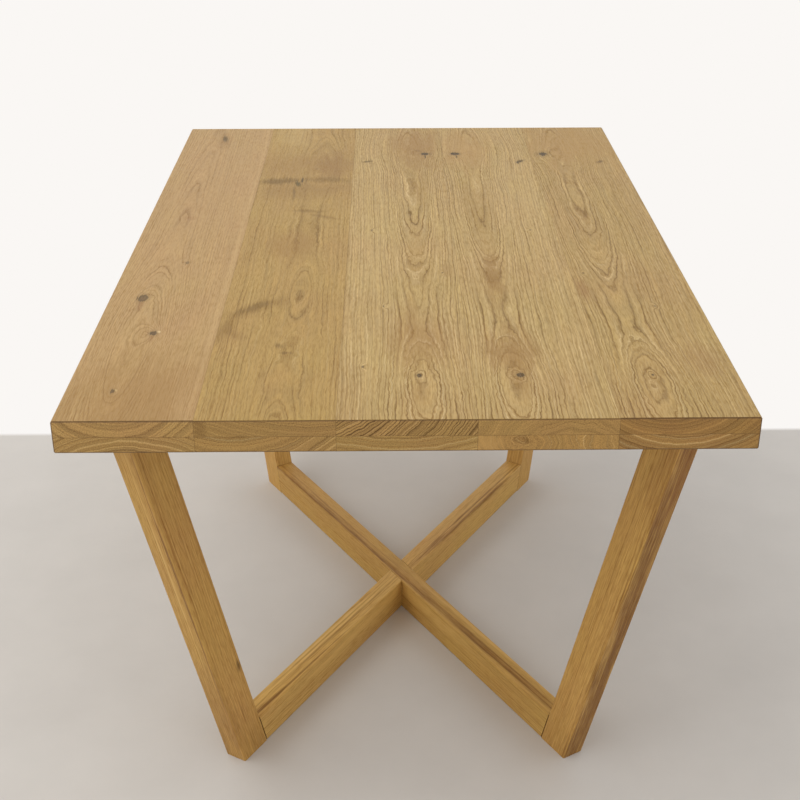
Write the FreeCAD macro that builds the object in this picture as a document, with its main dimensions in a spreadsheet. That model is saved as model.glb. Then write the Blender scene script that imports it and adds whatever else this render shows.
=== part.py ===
import FreeCAD, Part
import os
import Sketcher

from FreeCAD import Placement, Rotation, Vector

# Dining table in solid oak on a crossed base. Four legs lean outwards to the corners of a
# two-layer top. Two floor rails and two top rails join the legs corner to corner and are
# half-lapped where they cross; loose tenons hold the rails to the legs, and bolts hold the base
# to threaded inserts in the top.
#
# Frame: origin on the floor under the middle of the top, +X across the boards to the right,
# +Y along the boards to the back, +Z up. Lengths are in millimetres, angles in degrees.

# ---------------------------------------------------------------- driving dimensions

SIZES = {
    # top
    "top_length": 1400,
    "board_width": 180,
    "layer_thickness": 23,
    "top_arris": 2,
    # base
    "table_height": 750,
    "head_inset_side": 66,  # top's long edge to the middle of a leg's outer face, under the top
    "head_inset_end": 61,  # top's short edge to the same point
    "lean_angle": 16,  # of a leg, from upright
    "leg_depth": 60,
    "member_thickness": 38,
    "floor_rail_height": 60,
    "top_rail_height": 60,
    "member_arris": 1.5,
    # loose tenons
    "tenon_length": 56,
    "tenon_height": 30,
    "tenon_thickness": 12,
    "tenon_end_gap": 1,
    "tenon_arris": 1,
    # bolts, washers and threaded inserts between the top rails and the top
    "inner_bolt_reach": 120,
    "outer_bolt_reach": 460,
    "bolt_diameter": 8,
    "bolt_length": 55,
    "bolt_head_diameter": 14,
    "bolt_head_height": 4.4,
    "bolt_drive_width": 5,
    "bolt_drive_depth": 2.6,
    "bolt_tip_gap": 1,
    "bolt_hole_diameter": 12,
    "counterbore_diameter": 26,
    "washer_diameter": 24,
    "washer_bore": 8.4,
    "washer_thickness": 2,
    "insert_diameter": 12,
    "insert_cover": 3,  # wood left between an insert's hole and the upper layer
    "insert_end_gap": 2,
    "thread_clearance": 0.05,
    # wood screws through the half-laps
    "screw_diameter": 5,
    "screw_head_diameter": 10,
    "screw_drive_width": 3.2,
    "screw_drive_depth": 2,
    "screw_cover": 15,  # wood left above a screw's tip
    "screw_tip_gap": 1,
}

BOARDS_PER_LAYER = 5

# Worked out from the driving dimensions. A reach is a distance from the middle of the table
# along a diagonal, and DIAGONAL is the angle from +X to the line through two opposite legs.
TOP_UNDERSIDE = "(Sizes.table_height - 2 * Sizes.layer_thickness)"
HEAD_X = f"({BOARDS_PER_LAYER} * Sizes.board_width / 2 - Sizes.head_inset_side)"
HEAD_Y = "(Sizes.top_length / 2 - Sizes.head_inset_end)"
DIAGONAL = f"atan2({HEAD_Y}; {HEAD_X})"
HEAD_REACH = f"hypot({HEAD_X}; {HEAD_Y})"
SLOPE = "tan(Sizes.lean_angle)"
FOOT_REACH = f"({HEAD_REACH} - {TOP_UNDERSIDE} * {SLOPE})"
INNER_REACH = f"({FOOT_REACH} - Sizes.leg_depth / cos(Sizes.lean_angle))"
INSERT_HOLE_DEPTH = "(Sizes.layer_thickness - Sizes.insert_cover)"
INSERT_LENGTH = f"({INSERT_HOLE_DEPTH} - Sizes.insert_end_gap)"
THREAD_REACH = f"({INSERT_LENGTH} - Sizes.bolt_tip_gap)"
CLAMPED_WOOD = f"(Sizes.bolt_length - {THREAD_REACH} - Sizes.washer_thickness)"
COUNTERBORE_DEPTH = f"(Sizes.top_rail_height - {CLAMPED_WOOD})"

# The legs, each with the turn that takes +X to its corner of the table
LEGS = {
    "leg_back_right": DIAGONAL,
    "leg_back_left": f"(180 deg - {DIAGONAL})",
    "leg_front_left": f"(180 deg + {DIAGONAL})",
    "leg_front_right": f"(360 deg - {DIAGONAL})",
}

doc = FreeCAD.newDocument("CrossedBaseTable")
sheet = doc.addObject("Spreadsheet::Sheet", "Sizes")
for row, (alias, size) in enumerate(SIZES.items(), start=1):
    sheet.set(f"A{row}", alias)
    sheet.set(f"B{row}", str(size))
    sheet.setAlias(f"B{row}", alias)
doc.recompute()

# ---------------------------------------------------------------- helpers


def number(expression):
    """Value of an expression over the sheet's cells, as a plain number."""
    result = sheet.evalExpression(str(expression))
    return float(getattr(result, "Value", result))


def new_body(label):
    body = doc.addObject("PartDesign::Body", label)
    body.Label = label
    return body


def new_sketch(body, name, plane, height=None):
    """Sketch on one of the body's own origin planes, raised by height where one is given."""
    sketch = body.newObject("Sketcher::SketchObject", f"{body.Name}_{name}")
    support = next(item for item in body.Origin.OriginFeatures if item.Role == plane)
    sketch.AttachmentSupport = [(support, "")]
    sketch.MapMode = "FlatFace"
    if height is not None:
        sketch.setExpression("AttachmentOffset.Base.z", height)
    return sketch


def pin_point(sketch, geometry, point, corner):
    """Hold one point of a sketch at coordinates given as expressions."""
    for kind, coordinate in zip(("DistanceX", "DistanceY"), corner):
        index = sketch.addConstraint(
            Sketcher.Constraint(kind, -1, 1, geometry, point, number(coordinate))
        )
        sketch.setExpression(f"Constraints[{index}]", str(coordinate))


def draw_outline(sketch, corners):
    """Closed outline through corners, each a pair of expressions."""
    places = [Vector(number(x), number(y), 0) for x, y in corners]
    lines = []
    for start, end in zip(places, places[1:] + places[:1]):
        lines.append(sketch.addGeometry(Part.LineSegment(start, end), False))
    for line, following in zip(lines, lines[1:] + lines[:1]):
        sketch.addConstraint(Sketcher.Constraint("Coincident", line, 2, following, 1))
    for line, corner in zip(lines, corners):
        pin_point(sketch, line, 1, corner)


def draw_circle(sketch, centre, diameter):
    place = Vector(number(centre[0]), number(centre[1]), 0)
    circle = sketch.addGeometry(Part.Circle(place, Vector(0, 0, 1), number(diameter) / 2), False)
    pin_point(sketch, circle, 3, centre)
    index = sketch.addConstraint(Sketcher.Constraint("Diameter", circle, number(diameter)))
    sketch.setExpression(f"Constraints[{index}]", str(diameter))


def add_pad(body, sketch, length, midplane=False):
    pad = body.newObject("PartDesign::Pad", f"{sketch.Name}_pad")
    pad.Profile = sketch
    pad.Midplane = midplane
    pad.setExpression("Length", length)
    doc.recompute()
    return pad


def add_pocket(body, sketch, length, midplane=False, upwards=False):
    """Pocket that has to take wood away: one that points out of the solid is an error."""
    before = body.Shape.Volume
    pocket = body.newObject("PartDesign::Pocket", f"{sketch.Name}_pocket")
    pocket.Profile = sketch
    pocket.Midplane = midplane
    pocket.Reversed = upwards
    pocket.setExpression("Length", length)
    doc.recompute()
    if body.Shape.Volume >= before:
        raise RuntimeError(f"{pocket.Name} takes nothing away")
    return pocket


def add_arris(body, feature, edges, width):
    """Small chamfer along the feature's edges with these names."""
    chamfer = body.newObject("PartDesign::Chamfer", f"{body.Name}_arris")
    chamfer.Base = (feature, edges)
    chamfer.setExpression("Size", width)
    doc.recompute()
    return chamfer


def edge_names(shape, wanted):
    """Names of a shape's edges whose two ends both pass the test."""
    names = []
    for index, edge in enumerate(shape.Edges, start=1):
        ends = [vertex.Point for vertex in edge.Vertexes]
        if len(ends) == 2 and wanted(*ends):
            names.append(f"Edge{index}")
    return names


def same(first, second):
    return abs(first - second) < 1e-6


def move_to(item, x="0", y="0", z="0"):
    for axis, coordinate in zip("xyz", (x, y, z)):
        item.setExpression(f"Placement.Base.{axis}", str(coordinate))


def turn_about_z(item, angle):
    item.Placement = Placement(Vector(0, 0, 0), Rotation(Vector(0, 0, 1), number(angle)))
    item.setExpression("Placement.Rotation.Angle", angle)


def mirrored(source, name, normal):
    mirror = doc.addObject("Part::Mirroring", name)
    mirror.Source = source
    mirror.Normal = normal
    return mirror


def group_on_all_arms(label, pieces):
    """The pieces on the back-right arm of the base and their mirror images on the other three."""
    arm = doc.addObject("Part::Compound", f"{label}_on_one_arm")
    arm.Links = pieces
    across = doc.addObject("Part::Compound", f"{label}_at_the_back")
    across.Links = [arm, mirrored(arm, f"{label}_mirrored_in_x", Vector(1, 0, 0))]
    group = doc.addObject("Part::Compound", label)
    group.Links = [across, mirrored(across, f"{label}_mirrored_in_y", Vector(0, 1, 0))]
    group.Label = label
    return group


# ---------------------------------------------------------------- top


def bolt_places():
    """Bolts over all four arms of the top rails, as pairs of expressions."""
    places = []
    for reach in ("Sizes.inner_bolt_reach", "Sizes.outer_bolt_reach"):
        for side in ("", "-"):
            for end in ("", "-"):
                x = f"{side}{reach} * cos({DIAGONAL})"
                y = f"{end}{reach} * sin({DIAGONAL})"
                places.append((x, y))
    return places


def make_board(label, index, is_upper):
    """One board of a layer. Its outer edges have the top's arris: the whole table's rim."""
    middle = f"({index} - {(BOARDS_PER_LAYER - 1) / 2}) * Sizes.board_width"
    half_width = number("Sizes.board_width") / 2
    half_length = number("Sizes.top_length") / 2
    rim_height = number("Sizes.layer_thickness") if is_upper else 0

    body = new_body(label)
    plan = new_sketch(body, "plan", "XY_Plane")
    x = "Sizes.board_width / 2"
    y = "Sizes.top_length / 2"
    draw_outline(plan, [(f"-{x}", f"-{y}"), (x, f"-{y}"), (x, y), (f"-{x}", y)])
    pad = add_pad(body, plan, "Sizes.layer_thickness")

    outer_sides = []
    if index == 0:
        outer_sides.append(-half_width)
    if index == BOARDS_PER_LAYER - 1:
        outer_sides.append(half_width)

    def on_rim(start, end):
        level = same(start.z, rim_height) and same(end.z, rim_height)
        at_end = same(start.y, end.y) and same(abs(start.y), half_length)
        for side in outer_sides:
            if same(start.x, side) and same(end.x, side):
                return level or at_end
        return level and at_end

    add_arris(body, pad, edge_names(pad.Shape, on_rim), "Sizes.top_arris")

    if not is_upper:
        bore_for_inserts(body, middle)

    layers_below_top = 1 if is_upper else 2
    move_to(body, x=middle, z=f"Sizes.table_height - {layers_below_top} * Sizes.layer_thickness")
    return body


def bore_for_inserts(body, middle):
    """Blind holes from below for the threaded inserts that this board takes."""
    bore = "(Sizes.insert_diameter + 2 * Sizes.thread_clearance)"
    nearest = (number("Sizes.board_width") + number(bore)) / 2
    on_board = [
        (x, y) for x, y in bolt_places() if abs(number(x) - number(middle)) < nearest
    ]
    if not on_board:
        return
    holes = new_sketch(body, "insert_holes", "XY_Plane")
    for x, y in on_board:
        draw_circle(holes, (f"{x} - {middle}", y), bore)
    add_pocket(body, holes, INSERT_HOLE_DEPTH, upwards=True)


# ---------------------------------------------------------------- legs, rails and their tenons


def tilted_bar(reach, height, half_length, half_height, side=""):
    """
    Corners of a bar through the joint between a leg and a rail, in the plane of their frame.

    The bar is square to the leg's inner face, which leans, so it dips towards the foot. Its
    middle is on that face at the given reach and height.
    """
    corners = []
    for along, above in (("-", "-"), ("", "-"), ("", ""), ("-", "")):
        x = (
            f"{side}({reach} + {along}{half_length} * cos(Sizes.lean_angle)"
            f" + {above}{half_height} * sin(Sizes.lean_angle))"
        )
        y = (
            f"{height} - {along}{half_length} * sin(Sizes.lean_angle)"
            f" + {above}{half_height} * cos(Sizes.lean_angle)"
        )
        corners.append((x, y))
    return corners


def face_reach(height):
    """Reach of a leg's inner face at this height above the floor."""
    return f"({INNER_REACH} + {height} * {SLOPE})"


def cut_mortise(body, name, reach, height, side=""):
    """Mortise across the joint: this body only loses the half that lies in it."""
    sketch = new_sketch(body, name, "XZ_Plane")
    half_length = "(Sizes.tenon_length / 2 + Sizes.tenon_end_gap)"
    draw_outline(sketch, tilted_bar(reach, height, half_length, "Sizes.tenon_height / 2", side))
    add_pocket(body, sketch, "Sizes.tenon_thickness", midplane=True)


def joint_height(is_floor):
    """Height above the floor of the middle of a rail's end."""
    if is_floor:
        return "(Sizes.floor_rail_height / 2)"
    return f"({TOP_UNDERSIDE} - Sizes.top_rail_height / 2)"


def is_long_member_edge(start, end):
    """True for an edge in the frame's plane that is not the thickness of the member."""
    return same(start.y, end.y) and (end - start).Length > number("2 * Sizes.leg_depth")


def make_leg(label, turn):
    """A leg as it stands on the +X side, turned to its place: a slanting bar with level ends."""
    body = new_body(label)
    side_view = new_sketch(body, "side_view", "XZ_Plane")
    draw_outline(
        side_view,
        [
            (INNER_REACH, "0"),
            (FOOT_REACH, "0"),
            (HEAD_REACH, TOP_UNDERSIDE),
            (face_reach(TOP_UNDERSIDE), TOP_UNDERSIDE),
        ],
    )
    pad = add_pad(body, side_view, "Sizes.member_thickness", midplane=True)
    add_arris(body, pad, edge_names(pad.Shape, is_long_member_edge), "Sizes.member_arris")
    for name, is_floor in (("floor_mortise", True), ("top_mortise", False)):
        height = joint_height(is_floor)
        cut_mortise(body, name, face_reach(height), height)
    turn_about_z(body, turn)
    return body


def cut_half_lap(body, rail_height, crossing_angle, is_over):
    """Half-lap where the other rail passes. The rail that passes over is cut from below."""
    half = "Sizes.member_thickness / 2"
    beyond = "Sizes.member_thickness"

    def crossing(edge, across):
        """Point at height across on one edge of the other rail, in this rail's plan."""
        x = f"({across} * cos({crossing_angle}) - {edge}{half}) / sin({crossing_angle})"
        return (x, across)

    plan = new_sketch(body, "half_lap", "XY_Plane", None if is_over else rail_height)
    draw_outline(
        plan,
        [
            crossing("-", f"(-{beyond})"),
            crossing("", f"(-{beyond})"),
            crossing("", beyond),
            crossing("-", beyond),
        ],
    )
    add_pocket(body, plan, f"{rail_height} / 2", upwards=is_over)


def cut_screw_bore(body, rail_height):
    """Countersunk bore from below for the wood screw in the middle of the half-lap."""
    sketch = new_sketch(body, "screw_bore", "XZ_Plane")
    length = f"({rail_height} - Sizes.screw_cover + Sizes.screw_tip_gap)"
    draw_outline(sketch, screw_profile(length, "Sizes.thread_clearance"))
    before = body.Shape.Volume
    groove = body.newObject("PartDesign::Groove", f"{sketch.Name}_groove")
    groove.Profile = sketch
    groove.ReferenceAxis = (sketch, ["V_Axis"])
    doc.recompute()
    if body.Shape.Volume >= before:
        raise RuntimeError(f"{groove.Name} takes nothing away")


def screw_profile(length, clearance="0"):
    """Half of a countersunk screw's section, head down, with a shank of full width to its end."""
    head = f"(Sizes.screw_head_diameter / 2 + {clearance})"
    shank = f"(Sizes.screw_diameter / 2 + {clearance})"
    return [("0", "0"), (head, "0"), (shank, f"{head} - {shank}"), (shank, length), ("0", length)]


def bore_for_bolts(body):
    """Clearance holes and, from below, the counterbores of the bolts along a top rail."""
    reaches = []
    for reach in ("Sizes.inner_bolt_reach", "Sizes.outer_bolt_reach"):
        reaches += [reach, f"-{reach}"]
    for name, diameter, depth in (
        ("bolt_holes", "Sizes.bolt_hole_diameter", "Sizes.top_rail_height"),
        ("counterbores", "Sizes.counterbore_diameter", COUNTERBORE_DEPTH),
    ):
        sketch = new_sketch(body, name, "XY_Plane")
        for reach in reaches:
            draw_circle(sketch, (reach, "0"), diameter)
        add_pocket(body, sketch, depth, upwards=True)


def make_rail(label, is_floor, is_over):
    """
    A rail between two opposite legs, its ends cut to the lean of their inner faces.

    The one that passes over runs from back left to front right, the other from front left to
    back right. The body's own bottom is the rail's underside.
    """
    if is_floor:
        rail_height = "Sizes.floor_rail_height"
        underside = "0"
    else:
        rail_height = "Sizes.top_rail_height"
        underside = f"({TOP_UNDERSIDE} - Sizes.top_rail_height)"
    bottom = face_reach(underside)
    top = face_reach(f"({underside} + {rail_height})")
    turn = LEGS["leg_front_right"] if is_over else LEGS["leg_back_right"]
    crossing_angle = f"(2 * {DIAGONAL})" if is_over else f"(-2 * {DIAGONAL})"

    body = new_body(label)
    side_view = new_sketch(body, "side_view", "XZ_Plane")
    draw_outline(
        side_view,
        [(f"-{bottom}", "0"), (bottom, "0"), (top, rail_height), (f"-{top}", rail_height)],
    )
    pad = add_pad(body, side_view, "Sizes.member_thickness", midplane=True)
    add_arris(body, pad, edge_names(pad.Shape, is_long_member_edge), "Sizes.member_arris")
    for name, side in (("mortise", ""), ("far_mortise", "-")):
        cut_mortise(body, name, face_reach(joint_height(is_floor)), f"({rail_height} / 2)", side)
    cut_half_lap(body, rail_height, crossing_angle, is_over)
    cut_screw_bore(body, rail_height)
    if not is_floor:
        bore_for_bolts(body)
    turn_about_z(body, turn)
    move_to(body, z=underside)
    return body


def make_tenons(label, is_floor):
    """Loose tenons of the four joints between the legs and the floor rails or the top rails."""
    body = new_body(f"{label}_one")
    height = joint_height(is_floor)
    side_view = new_sketch(body, "side_view", "XZ_Plane")
    draw_outline(
        side_view,
        tilted_bar(face_reach(height), height, "Sizes.tenon_length / 2", "Sizes.tenon_height / 2"),
    )
    pad = add_pad(body, side_view, "Sizes.tenon_thickness", midplane=True)
    add_arris(body, pad, edge_names(pad.Shape, lambda start, end: True), "Sizes.tenon_arris")
    turn_about_z(body, DIAGONAL)
    return group_on_all_arms(label, [body])


# ---------------------------------------------------------------- hardware


def revolve_profile(body, corners):
    """Solid of revolution about the body's own Z axis."""
    section = new_sketch(body, "section", "XZ_Plane")
    draw_outline(section, corners)
    turned = body.newObject("PartDesign::Revolution", f"{body.Name}_turned")
    turned.Profile = section
    turned.ReferenceAxis = (section, ["V_Axis"])
    doc.recompute()
    return turned


def cut_drive(body, sides, width, depth):
    """Socket for a key or bit in the underside of a head, its width measured across the flats."""
    sketch = new_sketch(body, "drive", "XY_Plane")
    radius = f"({width} / 2 / cos({180 / sides}))"
    corners = []
    for step in range(sides):
        angle = 360 * step / sides
        corners.append((f"{radius} * cos({angle})", f"{radius} * sin({angle})"))
    draw_outline(sketch, corners)
    add_pocket(body, sketch, depth, upwards=True)


def on_arm(piece, reach, height):
    """Put a piece of hardware on the back-right arm of the base."""
    move_to(
        piece,
        x=f"{reach} * cos({DIAGONAL})",
        y=f"{reach} * sin({DIAGONAL})",
        z=height,
    )
    return piece


def make_bolt(name, reach):
    """Round-headed bolt, head down: its own bottom is the head's lowest face."""
    body = new_body(name)
    head = "Sizes.bolt_head_diameter / 2"
    shank = "Sizes.bolt_diameter / 2"
    neck = "Sizes.bolt_head_height"
    tip = f"{neck} + Sizes.bolt_length"
    lead_in = "Sizes.bolt_diameter / 8"
    revolve_profile(
        body,
        [
            ("0", "0"),
            (f"{head} - {neck} / 2", "0"),
            (head, f"{neck} / 2"),
            (head, neck),
            (shank, neck),
            (shank, f"{tip} - {lead_in}"),
            (f"{shank} - {lead_in}", tip),
            ("0", tip),
        ],
    )
    cut_drive(body, 6, "Sizes.bolt_drive_width", "Sizes.bolt_drive_depth")
    seat = f"{TOP_UNDERSIDE} + {THREAD_REACH} - Sizes.bolt_length"
    return on_arm(body, reach, f"{seat} - Sizes.bolt_head_height")


def make_ring(name, reach, diameter, bore, thickness, height):
    """Flat ring or sleeve: a washer or a threaded insert."""
    body = new_body(name)
    plan = new_sketch(body, "plan", "XY_Plane")
    draw_circle(plan, ("0", "0"), diameter)
    draw_circle(plan, ("0", "0"), bore)
    add_pad(body, plan, thickness)
    return on_arm(body, reach, height)


def make_bolt_sets():
    """Bolts, their washers and the inserts that they screw into, two of each on every arm."""
    bolts = []
    washers = []
    inserts = []
    for place in ("inner", "outer"):
        reach = f"Sizes.{place}_bolt_reach"
        bolts.append(make_bolt(f"top_bolt_{place}", reach))
        washers.append(
            make_ring(
                f"washer_{place}",
                reach,
                "Sizes.washer_diameter",
                "Sizes.washer_bore",
                "Sizes.washer_thickness",
                f"{TOP_UNDERSIDE} - {CLAMPED_WOOD} - Sizes.washer_thickness",
            )
        )
        inserts.append(
            make_ring(
                f"insert_{place}",
                reach,
                "Sizes.insert_diameter",
                "(Sizes.bolt_diameter + 2 * Sizes.thread_clearance)",
                INSERT_LENGTH,
                TOP_UNDERSIDE,
            )
        )
    return [
        group_on_all_arms("top_fixing_bolts", bolts),
        group_on_all_arms("bolt_washers", washers),
        group_on_all_arms("threaded_inserts", inserts),
    ]


def make_lap_screws(label):
    """Countersunk wood screws that hold the two half-laps together from below."""
    screws = []
    for name, rail_height, underside in (
        ("floor_lap_screw", "Sizes.floor_rail_height", "0"),
        (
            "top_lap_screw",
            "Sizes.top_rail_height",
            f"{TOP_UNDERSIDE} - Sizes.top_rail_height",
        ),
    ):
        body = new_body(name)
        length = f"({rail_height} - Sizes.screw_cover)"
        shank_end = f"{length} - Sizes.screw_diameter"
        profile = screw_profile(shank_end)[:-1]
        revolve_profile(body, profile + [("0", length)])
        cut_drive(body, 4, "Sizes.screw_drive_width", "Sizes.screw_drive_depth")
        move_to(body, z=underside)
        screws.append(body)
    group = doc.addObject("Part::Compound", label)
    group.Links = screws
    group.Label = label
    return group


# ---------------------------------------------------------------- assembly

nodes = []
for layer, is_upper in (("top", True), ("under", False)):
    for index in range(BOARDS_PER_LAYER):
        nodes.append(make_board(f"{layer}_board_{index + 1}", index, is_upper))

for label, turn in LEGS.items():
    nodes.append(make_leg(label, turn))

for level, is_floor in (("floor", True), ("top", False)):
    for place, is_over in (("over", True), ("under", False)):
        nodes.append(make_rail(f"{level}_rail_{place}", is_floor, is_over))
    nodes.append(make_tenons(f"{level}_rail_tenons", is_floor))

nodes += make_bolt_sets()
nodes.append(make_lap_screws("lap_screws"))

doc.recompute()

# ---------------------------------------------------------------- checks and export

for item in doc.Objects:
    if "Invalid" in item.State or "Error" in item.State:
        raise RuntimeError(f"{item.Name} did not build: {item.State}")

os.makedirs("parts", exist_ok=True)
for node in nodes:
    shape = node.Shape
    if shape.isNull() or not shape.isValid():
        raise RuntimeError(f"{node.Label} has no valid shape")
    shape.exportStep(f"parts/{node.Label}.step")
    print(f"{node.Label}: {len(shape.Solids)} solid(s), {shape.Volume / 1000:.1f} cm3")
print(f"{len(nodes)} nodes")
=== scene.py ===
import math

import bmesh
import bpy
from mathutils import Matrix, Vector


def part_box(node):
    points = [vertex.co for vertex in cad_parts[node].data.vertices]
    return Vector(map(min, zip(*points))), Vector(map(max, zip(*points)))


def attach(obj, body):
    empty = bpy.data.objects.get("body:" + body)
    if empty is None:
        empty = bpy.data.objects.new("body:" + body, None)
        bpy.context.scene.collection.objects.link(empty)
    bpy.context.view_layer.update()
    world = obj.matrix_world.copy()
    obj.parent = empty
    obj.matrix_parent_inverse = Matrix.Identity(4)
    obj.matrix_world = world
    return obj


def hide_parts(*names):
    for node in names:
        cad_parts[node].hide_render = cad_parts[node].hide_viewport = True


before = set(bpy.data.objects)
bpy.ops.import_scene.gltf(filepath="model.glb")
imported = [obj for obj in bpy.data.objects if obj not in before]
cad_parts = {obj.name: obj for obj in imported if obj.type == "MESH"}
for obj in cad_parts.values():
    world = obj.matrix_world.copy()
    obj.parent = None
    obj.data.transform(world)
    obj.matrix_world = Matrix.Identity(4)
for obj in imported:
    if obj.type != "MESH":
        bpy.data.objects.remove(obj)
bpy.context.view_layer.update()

print("frame loaded:", len(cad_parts), "nodes")

mm = 0.001
wholeDepth = 1000    # mm, more than any piece is thick, so that a mark runs right through it


# sRGB hex to the linear colour that the shaders take
def paint(hexColour):
    parts = [int(hexColour[i:i + 2], 16) / 255 for i in (1, 3, 5)]
    linear = [c / 12.92 if c <= 0.04045 else ((c + 0.055) / 1.055) ** 2.4 for c in parts]
    return (*linear, 1.0)


# adds one node: inputs are values or other nodes' outputs, stops are (place, grey) for a colour ramp
def addNode(tree, kind, inputs, out=0, stops=None, **settings):
    node = tree.nodes.new("ShaderNode" + kind)
    for name, value in settings.items():
        setattr(node, name, value)
    for socket, value in inputs.items():
        if isinstance(value, bpy.types.NodeSocket):
            tree.links.new(value, node.inputs[socket])
        else:
            node.inputs[socket].default_value = value
    if stops:
        ramp = node.color_ramp.elements
        while len(ramp) < len(stops):
            ramp.new(0.5)
        for element, (place, grey) in zip(ramp, stops):
            element.position = place
            element.color = (grey, grey, grey, 1)
    return node.outputs[out] if node.outputs else node


def newMaterial(name):
    material = bpy.data.materials.new(name)
    material.use_nodes = True
    material.node_tree.nodes.clear()
    return material, material.node_tree


# soft streaks of one size: (across, along) the grain; the shift brings each piece its own
def grainStreaks(tree, vector, size, shift=(0, 0, 0), detail=2.0, roughness=0.5, out=0):
    across, along = size
    stretched = addNode(tree, "VectorMath", {0: vector, 1: (1 / across, 1 / along, 1 / across), 2: shift},
                        operation="MULTIPLY_ADD")
    return addNode(tree, "TexNoise", {"Vector": stretched, "Scale": 1.0, "Detail": detail,
                                      "Roughness": roughness}, out=out)


# how far a point lies from the middle of a mark, where 1 is the mark's edge
def farFrom(tree, vector, centre, halves, turn=0):
    away = addNode(tree, "Mapping", {"Vector": vector, "Location": centre, "Scale": halves,
                                     "Rotation": (0, 0, math.radians(turn))}, vector_type="TEXTURE")
    return addNode(tree, "VectorMath", {0: away}, out="Value", operation="LENGTH")


# Oiled solid oak, planed and sanded: pale late wood between brown, open-pored early wood, short dark
# pores, small tight knots, and a soft satin sheen that the pores break up. All lengths are millimetres on
# the piece, whose own X runs across it, Y along the grain and Z up through it.
plainOak = {
    "middle": (0, 0, 0),        # the piece's middle, in metres
    "turn": (0, 0, 0),
    "pith": (10, 90),           # the heart of the tree, seen from the piece's middle: across, up
    "lean": (0.0, 0.0),         # how far the heart drifts across and up for each step along the grain
    "ringWidth": 4.2,
    "ringJitter": 1.8,          # how uneven the rings are
    "wander": (16, 120, 480),   # slow bends of the rings: amount, across, along
    "ripple": (7, 30, 100),     # short bends of the rings
    "pale": "#D6BC86",
    "late": "#B99760",
    "early": "#8A6530",
    "pore": "#7C5A2C",
    "paleDepth": 0.8,
    "ringDepth": 0.75,
    "weakest": 0.36,            # the higher, the more years leave hardly a line
    "sides": 1.0,               # strength of the lines where the rings stand steep, far from the heart
    "poreDepth": 0.5,
    "poreSize": (1.8, 18),
    "growth": (0.45, 1.7),      # light and dark streaks that follow the rings: amount, streaks to a ring
    "fade": 240,                # the length over which a ring or streak changes
    "streak": 0.10,             # light and dark bands along the grain
    "fibre": 0.16,
    "cloud": 0.06,              # slow change of tone over the piece
    "swells": [],               # (across, along, half across, half along, lift of the rings)
    "lumpy": 0.06,              # how uneven the swells are
    "knots": [],                # (across, along, half across, half along, darkness)
    "stains": [],               # (across, along, half across, half along, turn, colour, strength)
    "streaks": [],              # (across, along, up, the three half sizes, turn, colour, strength)
    "seams": [],                # (point, normal, half width, strength) of glue lines and dark arrises
    "rough": (0.44, 0.62),      # between the pores, and in them
    "gloss": 0.28,
    "seed": 0.0,
}
knotLook = {
    "rim": "#3C2E14",
    "heart": "#5C4526",
    "halo": 0.35,               # darkness of the soft stain round a knot
    "haloReach": (0.9, 2.2),    # these three in knot sizes, from the knot's middle
    "edge": (0.82, 1.08),
    "heartReach": (0.2, 0.8),
    "ragged": 0.8,              # unevenness of the outline
    "lift": -1.3,               # how far the rings rise round a knot, in ring widths
    "liftReach": (5, 6),        # how far that goes, in knot sizes across and along
    "lumpy": 0.5,
}
lumpSize = (13, 20)             # lumps in the outline of knots and swells, across and along


# the rings bend slowly, then ripple; the tremble is the ripple's own pattern
def bendGrain(tree, spot, oak):
    seed = oak["seed"]
    amount, *size = oak["wander"]
    slow = grainStreaks(tree, spot, size, shift=(seed, seed * 1.7, seed * 0.6), out="Color")
    bent = addNode(tree, "VectorMath", {0: slow, 1: (amount, 0, amount), 2: spot}, operation="MULTIPLY_ADD")
    bent = addNode(tree, "VectorMath", {0: bent, 1: (amount / 2, 0, amount / 2)}, operation="SUBTRACT")
    amount, *size = oak["ripple"]
    tremble = grainStreaks(tree, bent, size, shift=(seed * 2.3, seed, seed * 1.1), detail=3.0,
                           roughness=0.55, out="Color")
    rippled = addNode(tree, "VectorMath", {0: tremble, 1: (amount, 0, amount), 2: bent},
                      operation="MULTIPLY_ADD")
    return bent, rippled, tremble


# distance from the leaning heart of the tree, lifted round knots and swells
def heartDistance(tree, bent, rippled, oak):
    pithX, pithZ = oak["pith"]
    leanX, leanZ = oak["lean"]
    heartLine = Vector((leanX, 1, leanZ)).normalized()
    fromHeart = addNode(tree, "VectorMath", {0: rippled, 1: (pithX, 0, pithZ)}, operation="SUBTRACT")
    crossed = addNode(tree, "VectorMath", {0: fromHeart, 1: heartLine}, operation="CROSS_PRODUCT")
    reach = addNode(tree, "VectorMath", {0: crossed}, out="Value", operation="LENGTH")

    reachAcross, reachAlong = knotLook["liftReach"]
    knotLift = knotLook["lift"] * oak["ringWidth"]
    lifts = [(*swell, oak["lumpy"]) for swell in oak["swells"]]
    lifts += [(x, y, reachAcross * halfAcross, reachAlong * halfAlong, knotLift, knotLook["lumpy"])
              for x, y, halfAcross, halfAlong, dark in oak["knots"]]
    if not lifts:
        return reach
    lumps = grainStreaks(tree, bent, lumpSize, roughness=0.6)
    for x, y, halfAcross, halfAlong, lift, lumpy in lifts:
        away = farFrom(tree, bent, (x, y, 0), (halfAcross, halfAlong, wholeDepth))
        away = addNode(tree, "Math", {0: lumps, 1: lumpy, 2: away}, operation="MULTIPLY_ADD")
        raised = addNode(tree, "MapRange", {"Value": away, "From Min": lumpy / 2, "From Max": 1 + lumpy / 2,
                                            "To Min": lift, "To Max": 0.0},
                         interpolation_type="SMOOTHERSTEP")
        reach = addNode(tree, "Math", {0: reach, 1: raised}, operation="ADD")
    return reach


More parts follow.
